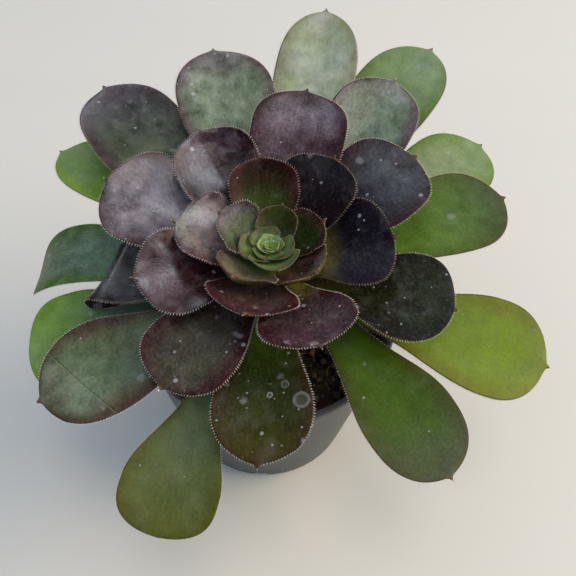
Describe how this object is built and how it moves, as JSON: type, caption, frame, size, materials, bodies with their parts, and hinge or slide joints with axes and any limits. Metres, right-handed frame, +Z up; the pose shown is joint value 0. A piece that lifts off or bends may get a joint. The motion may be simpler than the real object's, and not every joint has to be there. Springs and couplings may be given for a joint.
{
  "type": "potted aeonium",
  "caption": "Rosette of spoon-shaped dark purple and green succulent leaves on a short stem, standing in soil in a thin round tapered nursery pot.",
  "frame": {"origin": "middle of the pot's flat underside, on the surface that it stands on", "axes": "+Z up, -Y towards the viewer of the picture, whose near leaves hang over the pot's front, +X to their right"},
  "size_m": [0.1711, 0.1841, 0.1193],
  "materials": {
    "pot": "satin",
    "soil": "matte",
    "stem": "matte",
    "bud": "satin",
    "inner_leaf": "satin",
    "dark_leaf": "satin",
    "green_leaf": "satin"
  },
  "bodies": {
    "root": {"pot": "pot", "soil": "soil", "stem": "stem", "heart": "bud", "leaf_08": "inner_leaf", "leaf_09": "inner_leaf", "leaf_10": "inner_leaf", "leaf_11": "inner_leaf", "leaf_12": "inner_leaf", "leaf_13": "dark_leaf", "leaf_14": "dark_leaf", "leaf_15": "dark_leaf", "leaf_16": "dark_leaf", "leaf_17": "dark_leaf", "leaf_18": "dark_leaf", "leaf_19": "dark_leaf", "leaf_20": "dark_leaf", "leaf_21": "dark_leaf", "leaf_22": "dark_leaf", "leaf_23": "dark_leaf", "leaf_24": "dark_leaf", "leaf_25": "dark_leaf", "leaf_26": "dark_leaf", "leaf_27": "dark_leaf", "leaf_28": "green_leaf", "leaf_29": "green_leaf", "leaf_30": "green_leaf", "leaf_31": "green_leaf", "leaf_32": "green_leaf", "leaf_33": "green_leaf", "leaf_34": "green_leaf", "leaf_35": "green_leaf", "leaf_36": "green_leaf", "leaf_37": "green_leaf", "leaf_38": "green_leaf", "leaf_39": "green_leaf", "leaf_40": "green_leaf"}
  },
  "joints": []
}
